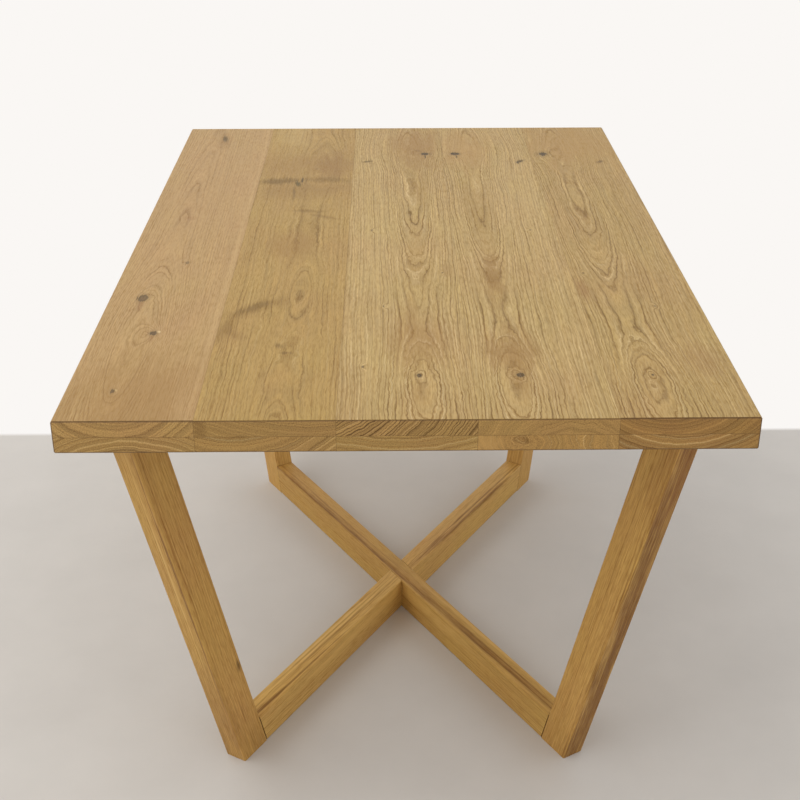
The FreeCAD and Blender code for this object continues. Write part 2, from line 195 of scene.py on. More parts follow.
# how strong early and late wood are through a year, from 0 where its ring begins to 1 where it ends
yearLook = {
    "early": [(0.0, 0.85), (0.06, 1.0), (0.16, 0.45), (0.34, 0.08), (0.85, 0.0), (1.0, 0.6)],
    "late": [(0.32, 0.0), (0.42, 1.0), (0.52, 0.25), (0.75, 0.0)],
    "jitterPace": 0.47,         # unevenness of the ring width: changes to a ring
    "scatter": 7.31,            # sets each year's strength apart from the next one's
    "faintest": 0.12,           # what is left of the line of a weak year
    "contrast": 0.32,           # the step from a weak year to a full one
    "paleYears": (0.4, 0.65),   # noise of a year without pale late wood, and of one that has it in full
}


# each ring: brown early wood, then paler late wood, each stronger in some years and places than in others
def colourRings(tree, rings, reach, along, oak):
    year = addNode(tree, "Math", {0: rings}, operation="FLOOR")
    year = addNode(tree, "Math", {0: year, 1: yearLook["scatter"]}, operation="MULTIPLY")
    years = addNode(tree, "CombineXYZ", {"X": year, "Y": along})
    years = addNode(tree, "TexNoise", {"Vector": years, "Scale": 1.0, "Detail": 1.0}, out="Color",
                    noise_dimensions="2D")
    years = addNode(tree, "SeparateXYZ", {0: years}).node.outputs
    season = addNode(tree, "Math", {0: rings}, operation="FRACT")

    early = addNode(tree, "ValToRGB", {"Fac": season}, stops=yearLook["early"])
    dark = addNode(tree, "MapRange", {"Value": years["X"], "From Min": oak["weakest"],
                                      "From Max": oak["weakest"] + yearLook["contrast"],
                                      "To Min": yearLook["faintest"]})
    pithUp = oak["pith"][1]
    shallow = addNode(tree, "MapRange", {"Value": reach, "From Min": pithUp, "From Max": 2 * pithUp,
                                         "To Min": 1.0, "To Max": oak["sides"]})
    dark = addNode(tree, "Math", {0: dark, 1: shallow}, operation="MULTIPLY")
    early = addNode(tree, "Math", {0: early, 1: dark}, operation="MULTIPLY")

    late = addNode(tree, "ValToRGB", {"Fac": season}, stops=yearLook["late"])
    none, full = yearLook["paleYears"]
    bright = addNode(tree, "MapRange", {"Value": years["Y"], "From Min": none, "From Max": full,
                                        "To Max": oak["paleDepth"]})
    late = addNode(tree, "Math", {0: late, 1: bright}, operation="MULTIPLY")
    wood = addNode(tree, "Mix", {0: late, 6: paint(oak["late"]), 7: paint(oak["pale"])}, out=2,
                   data_type="RGBA")
    brown = addNode(tree, "Math", {0: early, 1: oak["ringDepth"]}, operation="MULTIPLY")
    wood = addNode(tree, "Mix", {0: brown, 6: wood, 7: paint(oak["early"])}, out=2, data_type="RGBA")
    return wood, early


poreLook = {"from": 0.47, "to": 0.61, "inLateWood": 0.5}     # noise at a pore's edge and middle, depth left


# pores, drawn several times their real width so that they show
def cutPores(tree, wood, rippled, early, oak):
    pores = grainStreaks(tree, rippled, oak["poreSize"])
    pores = addNode(tree, "MapRange", {"Value": pores, "From Min": poreLook["from"],
                                       "From Max": poreLook["to"]}, interpolation_type="SMOOTHSTEP")
    kept = poreLook["inLateWood"]
    porous = addNode(tree, "Math", {0: early, 1: 1 - kept, 2: kept}, operation="MULTIPLY_ADD")
    pores = addNode(tree, "Math", {0: pores, 1: porous}, operation="MULTIPLY")
    shade = addNode(tree, "Math", {0: pores, 1: oak["poreDepth"]}, operation="MULTIPLY")
    wood = addNode(tree, "Mix", {0: shade, 6: wood, 7: paint(oak["pore"])}, out=2, data_type="RGBA")
    return wood, pores


toneLook = {
    "fibres": (1.8, 100),       # sizes across and along the grain
    "bands": (18, 420),
    "clouds": (70, 180),
    "hueSwing": 0.016,          # how much the clouds turn the hue
}


# tone: good and poor years, fine fibres, bands along the grain and slow clouds
def toneWood(tree, wood, rings, along, bent, rippled, oak):
    seed = oak["seed"]
    fibre = grainStreaks(tree, rippled, toneLook["fibres"], detail=3.0, roughness=0.6)
    band = grainStreaks(tree, bent, toneLook["bands"], shift=(seed, 0, seed))
    cloud = grainStreaks(tree, bent, toneLook["clouds"], shift=(seed * 3, seed, 0))
    amount, toARing = oak["growth"]
    growth = addNode(tree, "CombineXYZ", {"X": rings, "Y": along})
    growth = addNode(tree, "TexNoise", {"Vector": growth, "Scale": toARing, "Detail": 3.0,
                                        "Roughness": 0.75}, noise_dimensions="2D")
    parts = [(growth, amount), (fibre, oak["fibre"]), (band, oak["streak"]), (cloud, oak["cloud"])]
    tone = 1 - 0.5 * sum(strength for noise, strength in parts)     # the noises are 0.5 on average
    for noise, strength in parts:
        tone = addNode(tree, "Math", {0: noise, 1: strength, 2: tone}, operation="MULTIPLY_ADD")
    swing = toneLook["hueSwing"]
    hue = addNode(tree, "Math", {0: cloud, 1: swing, 2: 0.5 - swing / 2}, operation="MULTIPLY_ADD")
    wood = addNode(tree, "HueSaturation", {"Color": wood, "Hue": hue, "Value": tone})
    return wood, fibre


edgeLook = {
    "fibres": 2.2,              # weight of the fibres beside the ripple
    "stainRagged": 0.6,         # unevenness of a stain's outline
    "stainFull": 0.15,          # full strength up to this share of a stain's size
}


# what frays the edges of stains and knots: the ripple and the fibres, zero on average
def frayed(tree, tremble, fibre):
    ripple = addNode(tree, "VectorMath", {0: tremble, 1: (1, 1, 1)}, out="Value", operation="DOT_PRODUCT")
    both = addNode(tree, "Math", {0: fibre, 1: edgeLook["fibres"], 2: ripple}, operation="MULTIPLY_ADD")
    average = (3 + edgeLook["fibres"]) / 2      # the ripple adds up three noises, each 0.5 on average
    return addNode(tree, "Math", {0: both, 1: average}, operation="SUBTRACT")


# stained heartwood, where a branch ran close under the surface, and on the front legs and floor rails a few
# marks of painted shade and painted light
def stainsAndPaintedLight(tree, wood, bent, fray, oak):
    stains = [(x, y, 0, halfAcross, halfAlong, wholeDepth, turn, colour, strength)
              for x, y, halfAcross, halfAlong, turn, colour, strength in oak["stains"]]
    for x, y, z, halfAcross, halfAlong, halfUp, turn, colour, strength in stains + oak["streaks"]:
        away = farFrom(tree, bent, (x, y, z), (halfAcross, halfAlong, halfUp), turn)
        away = addNode(tree, "Math", {0: fray, 1: edgeLook["stainRagged"], 2: away},
                       operation="MULTIPLY_ADD")
        shade = addNode(tree, "MapRange", {"Value": away, "From Min": edgeLook["stainFull"],
                                           "To Min": strength, "To Max": 0.0},
                        interpolation_type="SMOOTHSTEP")
        wood = addNode(tree, "Mix", {0: shade, 6: wood, 7: paint(colour)}, out=2, data_type="RGBA")
    return wood


# knots: a brown heart in a dark rim, with a soft stain round it
def growKnots(tree, wood, spot, fray, oak):
    heartColour = paint(knotLook["heart"])
    for x, y, halfAcross, halfAlong, dark in oak["knots"]:
        away = farFrom(tree, spot, (x, y, 0), (halfAcross, halfAlong, wholeDepth))
        away = addNode(tree, "Math", {0: fray, 1: knotLook["ragged"], 2: away}, operation="MULTIPLY_ADD")
        near, far = knotLook["haloReach"]
        halo = addNode(tree, "MapRange", {"Value": away, "From Min": near, "From Max": far,
                                          "To Min": knotLook["halo"] * dark, "To Max": 0.0},
                       interpolation_type="SMOOTHSTEP")
        wood = addNode(tree, "Mix", {0: halo, 6: wood, 7: heartColour}, out=2, data_type="RGBA")
        near, far = knotLook["edge"]
        core = addNode(tree, "MapRange", {"Value": away, "From Min": near, "From Max": far,
                                          "To Min": dark, "To Max": 0.0}, interpolation_type="SMOOTHSTEP")
        near, far = knotLook["heartReach"]
        rim = addNode(tree, "MapRange", {"Value": away, "From Min": near, "From Max": far})
        knot = addNode(tree, "Mix", {0: rim, 6: heartColour, 7: paint(knotLook["rim"])}, out=2,
                       data_type="RGBA")
        wood = addNode(tree, "Mix", {0: core, 6: wood, 7: knot}, out=2, data_type="RGBA")
    return wood


seamLook = {"colour": "#4B3219", "full": 0.25}      # full strength up to this share of the half width


# glue lines and darkened arrises round the ends; like the pores they lie a little below the surface
def drawSeams(tree, wood, spot, pores, oak):
    dent = pores
    for point, normal, halfWidth, strength in oak["seams"]:
        gap = addNode(tree, "VectorMath", {0: spot, 1: point}, operation="SUBTRACT")
        gap = addNode(tree, "VectorMath", {0: gap, 1: normal}, out="Value", operation="DOT_PRODUCT")
        gap = addNode(tree, "Math", {0: gap}, operation="ABSOLUTE")
        line = addNode(tree, "MapRange", {"Value": gap, "From Min": seamLook["full"] * halfWidth,
                                          "From Max": halfWidth, "To Min": strength, "To Max": 0.0},
                       interpolation_type="SMOOTHSTEP")
        wood = addNode(tree, "Mix", {0: line, 6: wood, 7: paint(seamLook["colour"])}, out=2,
                       data_type="RGBA")
        dent = addNode(tree, "Math", {0: dent, 1: line}, operation="MAXIMUM")
    return wood, dent


reliefLook = {
    "fibreRough": 0.08,         # how much the fibres change the sheen
    "earlyDip": 0.25,           # how much lower the early wood lies, as a share of a pore's depth
    "strength": 0.35,
    "depth": 0.4 * mm,
}


# the surface: early wood, pores and glue lines lie lower than the fibres, and the pores break the sheen
def oiledSurface(tree, wood, early, fibre, dent, oak):
    smooth, dull = oak["rough"]
    rough = addNode(tree, "MapRange", {"Value": dent, "To Min": smooth, "To Max": dull})
    rough = addNode(tree, "Math", {0: fibre, 1: reliefLook["fibreRough"], 2: rough},
                    operation="MULTIPLY_ADD")
    height = addNode(tree, "Math", {0: early, 1: -reliefLook["earlyDip"], 2: fibre},
                     operation="MULTIPLY_ADD")
    height = addNode(tree, "Math", {0: dent, 1: -1.0, 2: height}, operation="MULTIPLY_ADD")
    relief = addNode(tree, "Bump", {"Height": height, "Strength": reliefLook["strength"],
                                    "Distance": reliefLook["depth"]})
    surface = addNode(tree, "BsdfPrincipled", {"Base Color": wood, "Roughness": rough, "Normal": relief,
                                               "Specular IOR Level": oak["gloss"]})
    addNode(tree, "OutputMaterial", {"Surface": surface})


def oakMaterial(name, oak):
    material, tree = newMaterial(name)
    place = addNode(tree, "TexCoord", {}, out="Object")
    spot = addNode(tree, "Mapping", {"Vector": place, "Location": oak["middle"], "Rotation": oak["turn"],
                                     "Scale": (mm, mm, mm)}, vector_type="TEXTURE")
    bent, rippled, tremble = bendGrain(tree, spot, oak)
    reach = heartDistance(tree, bent, rippled, oak)
    rings = addNode(tree, "Math", {0: reach, 1: oak["ringWidth"]}, operation="DIVIDE")
    uneven = addNode(tree, "TexNoise", {"W": rings, "Scale": yearLook["jitterPace"], "Detail": 1.0},
                     noise_dimensions="1D")
    rings = addNode(tree, "Math", {0: uneven, 1: oak["ringJitter"], 2: rings}, operation="MULTIPLY_ADD")
    along = addNode(tree, "SeparateXYZ", {0: bent}, out="Y")
    along = addNode(tree, "Math", {0: along, 1: oak["fade"]}, operation="DIVIDE")

    wood, early = colourRings(tree, rings, reach, along, oak)
    wood, pores = cutPores(tree, wood, rippled, early, oak)
    wood, fibre = toneWood(tree, wood, rings, along, bent, rippled, oak)
    fray = frayed(tree, tremble, fibre)
    wood = stainsAndPaintedLight(tree, wood, bent, fray, oak)
    wood = growKnots(tree, wood, spot, fray, oak)
    wood, dent = drawSeams(tree, wood, spot, pores, oak)
    oiledSurface(tree, wood, early, fibre, dent, oak)
    return material


easing = {
    "merge": 0.001 * mm,        # points of the solid's mesh closer than this are one
    "round": 0.7 * mm,          # how far a planed arris is rounded over
    "segments": 2,
    "angles": (30, 50),         # the angles of the arrises' edges, in degrees
    "shortest": 12 * mm,        # shorter edges stay as they are
    "flat": 0.5,                # faces that differ by less are made one
    "sharp": 32,                # edges that bend more stay sharp in the shading
    "endGrain": 0.6,            # faces that look this squarely along the grain are ends
}


# a wooden piece: the node's own solid with its planed arrises rounded over
def easedPiece(node, faceOak, endOak, endAxis):
    solid = bmesh.new()
    solid.from_mesh(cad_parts[node].data)
    bmesh.ops.remove_doubles(solid, verts=solid.verts, dist=easing["merge"])
    bmesh.ops.dissolve_limit(solid, angle_limit=math.radians(easing["flat"]), verts=solid.verts,
                             edges=solid.edges)
    least, most = easing["angles"]
    arrises = [edge for edge in solid.edges if least < math.degrees(edge.calc_face_angle()) < most
               and edge.calc_length() > easing["shortest"]]
    bmesh.ops.bevel(solid, geom=arrises, offset=easing["round"], affect="EDGES", segments=easing["segments"],
                    profile=0.5, material=-1)
    for face in solid.faces:
        face.smooth = True
        face.material_index = int(abs(face.normal.dot(endAxis)) > easing["endGrain"])
    mesh = bpy.data.meshes.new("oak_" + node)
    solid.to_mesh(mesh)
    solid.free()
    mesh.set_sharp_from_angle(angle=math.radians(easing["sharp"]))
    mesh.materials.append(oakMaterial("oiled oak " + node, faceOak))
    mesh.materials.append(oakMaterial("oiled oak end grain " + node, endOak))
    piece = bpy.data.objects.new("oak_" + node, mesh)
    bpy.context.scene.collection.objects.link(piece)
    normals = piece.modifiers.new("flat faces stay flat", "WEIGHTED_NORMAL")
    normals.keep_sharp = True
    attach(piece, "root")
    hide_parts(node)


# the three right-hand boards were sawn from one plank, so they share its figure: a narrow cathedral
plankOak = {
    **plainOak, "pale": "#DAC294", "late": "#B39760", "early": "#6E4D0C", "pore": "#795A24",
    "lean": (0.0, -0.022), "ringWidth": 4.6, "ripple": (8, 22, 110), "growth": (0.6, 1.5), "streak": 0.16,
    "fibre": 0.28, "paleDepth": 0.65, "ringDepth": 1.0, "weakest": 0.30, "sides": 0.5, "lumpy": 0.14,
}
plankSwells = [(0, -740, 130, 420, -15), (0, -580, 54, 185, -9.5), (0, 150, 78, 480, -12),
               (0, 520, 180, 230, -12)]


# one board of that plank, with the figure over its own heart
def plankBoard(pith, **look):
    swells = [(pith[0] + x, *rest) for x, *rest in plankSwells]
    return {**plankOak, "pith": pith, "swells": swells, **look}


endGrain = {
    **plainOak, "wander": (8, 60, 480), "ripple": (4, 16, 100), "growth": (1.2, 1.0), "fibre": 0.6,
    "poreSize": (1.4, 26), "poreDepth": 0.6, "streak": 0.05, "paleDepth": 0.5, "pore": "#563A1A",
}

topBoards = {
    # pinkish board with small knots, a dark stain at its far end and a pale streak along its joint
    "top_board_1": {
        "face": {
            **plainOak, "seed": 1.0, "pale": "#C4A477", "late": "#B29260", "early": "#83602F",
            "pore": "#7C5729", "paleDepth": 0.35, "ringDepth": 0.8, "weakest": 0.32, "sides": 0.45,
            "poreDepth": 0.4, "pith": (-23, 56), "lean": (0, 0.014), "ringWidth": 3.7, "ringJitter": 1.2,
            "wander": (10, 120, 600), "ripple": (4, 30, 120), "fibre": 0.12,
            "swells": [(-23, -430, 95, 440, -26), (-8, -430, 34, 70, -7)],
            "knots": [(-38, -287, 6.5, 11, 0.7), (-2, -422, 5, 8, 0.8), (-26, -613, 3, 6, 0.7),
                      (10, -134, 2.4, 5, 0.5)],
            "stains": [(0, 330, 160, 620, 0, "#AE8E61", 0.38), (0, -660, 150, 260, 0, "#94703A", 0.55),
                       (-8, 600, 20, 75, 4, "#8A6A3C", 0.45), (-8, 617, 8, 34, 8, "#55421C", 0.8),
                       (-37, -318, 6, 26, 0, "#8A6238", 0.5), (-2, -442, 5, 18, 0, "#8A6238", 0.5),
                       (6, -417, 4, 6, 20, "#DCC393", 0.9), (-23, -610, 3, 7, 20, "#D2B680", 0.7),
                       (82, 0, 5, 1400, 0, "#CDAE7C", 0.22), (-15, 92, 14, 16, 25, "#93693F", 0.3)],
        },
        "end": {**endGrain, "seed": 1.3, "pale": "#C8A468", "late": "#B79258", "early": "#8A6330",
                "pith": (-10, 92), "ringWidth": 9.0, "ringDepth": 0.5},
    },
    # browner board crossed by the traces of branches
    "top_board_2": {
        "face": {
            **plainOak, "seed": 2.0, "pale": "#C3A974", "late": "#AB8C4F", "early": "#745516",
            "ringDepth": 0.7, "paleDepth": 0.45, "poreDepth": 0.5, "poreSize": (1.5, 16), "pith": (22, 84),
            "ringWidth": 4.2, "lean": (0, 0.01), "ripple": (6, 24, 60), "fibre": 0.24, "growth": (0.5, 1.8),
            "swells": [(22, -260, 36, 175, -8.5), (12, -760, 36, 215, -9), (38, 420, 60, 260, -9)],
            "knots": [(-7, 318, 2, 18, 0.75), (18, 392, 3.5, 7, 0.2)],
            "stains": [(0, 380, 160, 560, 0, "#A68854", 0.35), (0, 250, 150, 75, 0, "#8E6E3A", 0.5),
                       (0, 420, 160, 110, 0, "#967440", 0.5), (52, 425, 60, 150, 0, "#8A6838", 0.5),
                       (-40, 640, 55, 150, 0, "#CFB480", 0.2), (-52, 311, 70, 29, 4, "#6C5018", 0.72),
                       (45, 318, 68, 27, -4, "#775A22", 0.58), (-15, 294, 9, 26, 8, "#4E4216", 0.8),
                       (-20, 240, 5, 70, 3, "#6A5022", 0.6), (-38, -325, 26, 82, -44, "#7A5A1E", 0.55),
                       (-42, -324, 14, 50, -44, "#64480E", 0.35), (-82, -410, 20, 58, -14, "#7A5A1E", 0.55),
                       (-64, -430, 16, 30, 20, "#80602A", 0.4), (2, -468, 8, 16, 15, "#664A16", 0.6),
                       (14, -494, 12, 7, 0, "#6C4E18", 0.6), (14, 130, 50, 13, -7, "#785A22", 0.6),
                       (46, 96, 44, 10, -28, "#7E5F2A", 0.5), (-10, -50, 60, 110, 0, "#94703A", 0.5)],
        },
        "end": {**endGrain, "seed": 2.3, "pale": "#B8955C", "late": "#AB884F", "early": "#886430",
                "pith": (60, 330), "ringWidth": 5.0, "ringDepth": 0.5,
                "streaks": [(-82, 0, 0, 14, 4000, 30, 0, "#6F4D22", 0.4)]},
    },
    "top_board_3": {
        "face": plankBoard(
            (28, 52), seed=3.0,
            knots=[(56, 495, 8.5, 8.5, 1.0), (18, -570, 3.2, 5, 0.85), (-30, -325, 1.8, 3, 0.5),
                   (-58, -541, 1.8, 3, 0.6), (65, -185, 1.8, 3.5, 0.6), (-50, 22, 2, 3.5, 0.5)],
            stains=[(12, -370, 18, 120, 0, "#96743C", 0.5), (20, -620, 22, 75, 0, "#96743C", 0.45),
                    (70, -175, 14, 42, 0, "#96743C", 0.4), (33, 255, 4, 75, 0, "#94703F", 0.5),
                    (30, -130, 34, 260, 0, "#98783A", 0.3), (38, 270, 26, 170, 0, "#98783A", 0.45),
                    (18, -465, 70, 130, 0, "#946F38", 0.5), (-42, 0, 40, 800, 0, "#D2B783", 0.13),
                    (40, 540, 80, 260, 0, "#9A7844", 0.85), (42, 518, 10, 16, 30, "#7A5C30", 0.6),
                    (56, 474, 2.5, 20, 0, "#4A3A1C", 0.9), (-65, 441, 10, 18, -60, "#5C4614", 0.8)]),
        "end": {**endGrain, "seed": 3.3, "pale": "#D0AA70", "late": "#AE8A50", "early": "#54370F",
                "pith": (-150, 150), "ringWidth": 4.0, "ringDepth": 1.0, "paleDepth": 0.8,
                "ripple": (5, 12, 100), "weakest": 0.2},
    },
    "top_board_4": {
        "face": plankBoard(
            (-30, 52), seed=3.4,
            knots=[(-62, 495, 8, 8.5, 1.0), (-25, -570, 5, 6, 0.85), (46, 20, 2, 3.5, 0.4)],
            stains=[(-37, -205, 24, 170, 0, "#906D34", 0.75), (-36, 180, 40, 380, 0, "#98783C", 0.4),
                    (-27, -492, 56, 120, 0, "#8E6A32", 0.6), (30, 240, 60, 360, 0, "#CDB480", 0.16),
                    (-25, -570, 30, 130, 0, "#96743C", 0.45), (-40, 540, 75, 250, 0, "#A88650", 0.75),
                    (-62, 474, 2.5, 20, 0, "#4A3A1C", 0.9), (65, 440, 9, 22, -30, "#4A360E", 0.95),
                    (58, 430, 4, 14, 0, "#3C2C0C", 0.8)]),
        "end": {**endGrain, "seed": 4.3, "pale": "#B8925A", "late": "#AE8A50", "early": "#8A652E",
                "pith": (40, -70), "ringWidth": 6.0, "ringDepth": 0.25, "weakest": 0.45,
                "growth": (0.8, 1.0), "wander": (26, 45, 480)},
    },
    "top_board_5": {
        "face": plankBoard(
            (-27, 50), seed=3.8, pale="#D4BA88", late="#AD9058",
            knots=[(-62, 490, 10.5, 15, 1.0), (-27, -572, 2, 3.5, 0.8), (20, -330, 2, 3.5, 0.4),
                   (-70, -190, 1.8, 3.5, 0.5)],
            stains=[(-78, -255, 14, 60, 0, "#8F6835", 0.55), (50, -530, 38, 80, 0, "#937041", 0.45),
                    (-27, -590, 22, 75, 0, "#96743C", 0.45), (0, 560, 150, 270, 0, "#A5834C", 0.75),
                    (50, 435, 9, 17, -40, "#664A1C", 0.75)]),
        "end": {**endGrain, "seed": 5.3, "pale": "#AC864E", "late": "#A27C44", "early": "#785424",
                "pith": (-25, 120), "ringWidth": 6.0, "ringDepth": 0.85},
    },
}

# the lower layer: these are the looks of its ends, and its other faces are plain oak
underBoards = {
    "under_board_1": {"seed": 6.0, "pith": (5, -165), "ringWidth": 5.2, "late": "#B08C52",
                      "early": "#6E4C1E", "ringDepth": 0.7},
    "under_board_2": {"seed": 7.0, "pith": (-40, 150), "ringWidth": 6.0, "late": "#AE8A50",
                      "early": "#7E5A28", "ringDepth": 0.65},
    "under_board_3": {"seed": 8.0, "pith": (-10, 320), "ringWidth": 7.0, "late": "#B28F53",
                      "early": "#7C5A26", "ringDepth": 0.7},
    "under_board_4": {"seed": 9.0, "pith": (-32, 7), "sides": 0.3, "ringWidth": 4.0, "late": "#B08A4E",
                      "early": "#6E4A1C", "ringDepth": 0.6, "weakest": 0.42, "wander": (40, 50, 480),
                      "ripple": (8, 14, 100),
                      "streaks": [(-75, 0, 0, 28, 4000, 30, 0, "#C39A5C", 0.6),
                                  (-32, 0, 4, 13, 4000, 8, 0, "#6E4A1C", 0.5)]},
    "under_board_5": {"seed": 10.0, "pith": (-10, 150), "ringWidth": 7.0, "late": "#A68048",
                      "early": "#6E4A1E", "ringDepth": 0.8},
}

boardSize = {"width": 180, "thickness": 23, "count": 5}
jointLine = {"halfWidth": 0.6, "onFace": 0.3, "onEnd": 0.45}
endArris = {"halfWidth": 3.0, "strength": 0.8}


def middleOf(node):
    low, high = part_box(node)
    return (low + high) / 2


# planes where glue joins a board to its neighbours, and planes of its free face and sides
def boardPlanes(node, layer):
    number = int(node[-1])
    faceUp = layer * boardSize["thickness"] / 2
    joined = []
    free = [((0, 0, faceUp), (0, 0, 1))]
    for side in (-1, 1):
        plane = ((side * boardSize["width"] / 2, 0, 0), (1, 0, 0))
        if 1 <= number + side <= boardSize["count"]:
            joined.append(plane)
        else:
            free.append(plane)
    joined.append(((0, 0, -faceUp), (0, 0, 1)))
    return joined, free


# the layer is 1 for the upper boards and -1 for the lower ones
def layBoards(boards, layer):
    for node, look in boards.items():
        joined, free = boardPlanes(node, layer)
        onFace = [(*plane, jointLine["halfWidth"], jointLine["onFace"]) for plane in joined]
        onEnd = [(*plane, jointLine["halfWidth"], jointLine["onEnd"]) for plane in joined]
        onEnd += [(*plane, endArris["halfWidth"], endArris["strength"]) for plane in free]
        face = {**look["face"], "middle": middleOf(node), "seams": onFace}
        end = {**look["end"], "middle": middleOf(node), "seams": onEnd}
        easedPiece(node, face, end, Vector((0, 1, 0)))


layBoards(topBoards, 1)
layBoards({node: {"face": {**plainOak, "seed": look["seed"], "pith": look["pith"]},
                  "end": {**endGrain, **look}} for node, look in underBoards.items()}, -1)
print("tabletop: ten boards in two layers")

# legs and rails: straight-grained and more golden than the top
legOak = {
    **plainOak, "pale": "#DCB46B", "late": "#C49A53", "early": "#925F20", "pore": "#88581F",
    "pith": (40, 120), "ringWidth": 3.6, "wander": (10, 110, 700), "ripple": (3.5, 22, 120),
    "ringDepth": 0.6, "growth": (0.34, 2.0), "fade": 420, "streak": 0.08, "fibre": 0.24, "cloud": 0.10,
    "poreSize": (1.6, 24), "poreDepth": 0.5,
}
railOak = {**legOak, "pale": "#D2AB64", "late": "#BC954F", "early": "#8A5A1F", "ringDepth": 0.5,
           "poreDepth": 0.4}
cutEnd = {"late": "#B98F4E", "early": "#8F6630"}        # the sawn ends
umber = "#70430C"                                       # the brown of most streaks
crossBase = {
    "leg_front_left": {
        "seed": 11.0, "pith": (75, 55),
        # the first streak darkens the whole leg towards its foot: painted shade near the floor
        "streaks": [(0, -350, 0, 60, 150, 60, 0, umber, 0.25), (0, -250, 40, 60, 200, 30, 0, umber, 0.3),
                    (16, 60, 30, 3, 360, 9, 0, "#7C5526", 0.7), (3, 120, 30, 3, 300, 6, 0, "#E0BA72", 0.6),
                    (19, -170, -26, 5, 26, 8, 10, "#5E3F14", 0.75)]},
    "leg_front_right": {
        "seed": 12.0, "pith": (-80, 70),
        # the first streak darkens the whole leg towards its foot: painted shade near the floor
        "streaks": [(0, -350, 0, 60, 130, 60, 0, umber, 0.2), (4, -60, 37, 42, 1200, 19, 0, umber, 0.8),
                    (0, 330, 20, 60, 190, 30, 0, "#8A5420", 0.35), (-8, 130, 30, 8, 300, 12, 0, umber, 0.5),
                    (4, -50, 30, 12, 90, 9, 0, umber, 0.5)]},
    "leg_back_left": {"seed": 13.0, "pith": (60, -90)},
    "leg_back_right": {"seed": 14.0, "pith": (-70, 80)},
    "floor_rail_over": {
        "seed": 15.0, "pith": (-15, -90),
        "streaks": [(12, 270, 30, 9, 420, 9, 0, umber, 0.45), (14, 310, 30, 3, 400, 6, 0, umber, 0.6),
                    # the pale streak at across 21 lightens the near side face of the rail's near half:
                    # painted light
                    (5, 330, 30, 3, 360, 7, 0, umber, 0.55), (21, 250, 14, 5, 560, 22, 0, "#E4BC70", 0.4),
                    (9, -240, 30, 8, 400, 9, 0, umber, 0.5), (10, -240, 30, 3, 380, 6, 0, umber, 0.55),
                    (-2, -240, 30, 3, 320, 7, 0, umber, 0.5), (-10, 260, 30, 6, 300, 6, 0, "#DDB66E", 0.5)]},
    "floor_rail_under": {
        "seed": 16.0, "pith": (30, -80), "pale": "#DEB970", "late": "#CAA25A", "early": "#8E6328",
        "streaks": [(-17, 450, 30, 6, 80, 8, 0, umber, 0.75), (-18, 340, 30, 2.5, 200, 7, 0, umber, 0.65),
                    # the pale streak at across -21 lightens the near side face of the rail's near half:
                    # painted light
                    (-21, 250, 10, 5, 560, 20, 0, "#E4BC70", 0.35), (-19, 430, -5, 8, 9, 7, 0, umber, 0.8),
                    (8, 260, 30, 4, 280, 6, 0, "#E8C680", 0.4), (0, 270, 30, 3, 280, 6, 0, "#E8C680", 0.35),
                    (-5, 260, 30, 3, 300, 6, 0, umber, 0.45), (4, 250, 30, 2, 300, 6, 0, umber, 0.35),
                    (-15, -310, 30, 6, 350, 8, 0, umber, 0.75), (-5, -300, 30, 3.5, 340, 7, 0, umber, 0.7),
                    (-9, -100, 30, 4, 150, 7, 0, umber, 0.65)]},
    "top_rail_over": {"seed": 17.0, "pith": (-60, 80)},
    "top_rail_under": {"seed": 18.0, "pith": (60, -90)},
}
baseSize = {
    "lean": 16.0,               # how far the legs lean outwards, in degrees
    "railEnd": 481.2,           # from the crossing to where a floor rail meets its leg, at the floor
    "railMiddle": 30,           # height of a floor rail's middle
}
legJoint = {"halfWidth": 1.3, "strength": 0.8}


# a leg's or rail's middle and the turn to its own axes: across its thickness, along it, through its depth
def memberTurn(node):
    middle = middleOf(node)
    if node.startswith("leg"):
        outwards = Vector((middle.x, middle.y, 0)).normalized()
        lean = math.radians(baseSize["lean"])
        along = outwards * math.sin(lean) + Vector((0, 0, math.cos(lean)))
        depth = outwards * math.cos(lean) - Vector((0, 0, math.sin(lean)))
    else:
        low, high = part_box(node)
        side = 1 if node.endswith("over") else -1
        along = Vector((side * (high.x - low.x), low.y - high.y, 0)).normalized()
        depth = Vector((0, 0, 1))
    across = along.cross(depth)
    return middle, Matrix((across, along, depth)).transposed().to_euler()


# the dark lines where a floor rail meets its two legs
def railSeams(node):
    if not node.startswith("floor"):
        return []
    lean = math.radians(baseSize["lean"])
    reach = baseSize["railEnd"] + baseSize["railMiddle"] * math.tan(lean)
    return [((0, side * reach, 0), (0, side * math.cos(lean), -math.sin(lean)),
             legJoint["halfWidth"], legJoint["strength"]) for side in (-1, 1)]


for node, look in crossBase.items():
    middle, turn = memberTurn(node)
    isLeg = node.startswith("leg")
    face = {**(legOak if isLeg else railOak), **look, "middle": middle, "turn": turn,
            "seams": railSeams(node)}
    endAxis = Vector((0, 0, 1 if isLeg else 0))     # the rails' ends are hidden in the joints
    easedPiece(node, face, {**face, **cutEnd}, endAxis)
print("base: four legs, two floor rails, two top rails")

steelLook = {"light": "#C3C6CB", "dark": "#A9ACB2", "rough": (0.24, 0.42), "marks": 1.2 * mm,
             "relief": 0.2, "depth": 0.1 * mm}


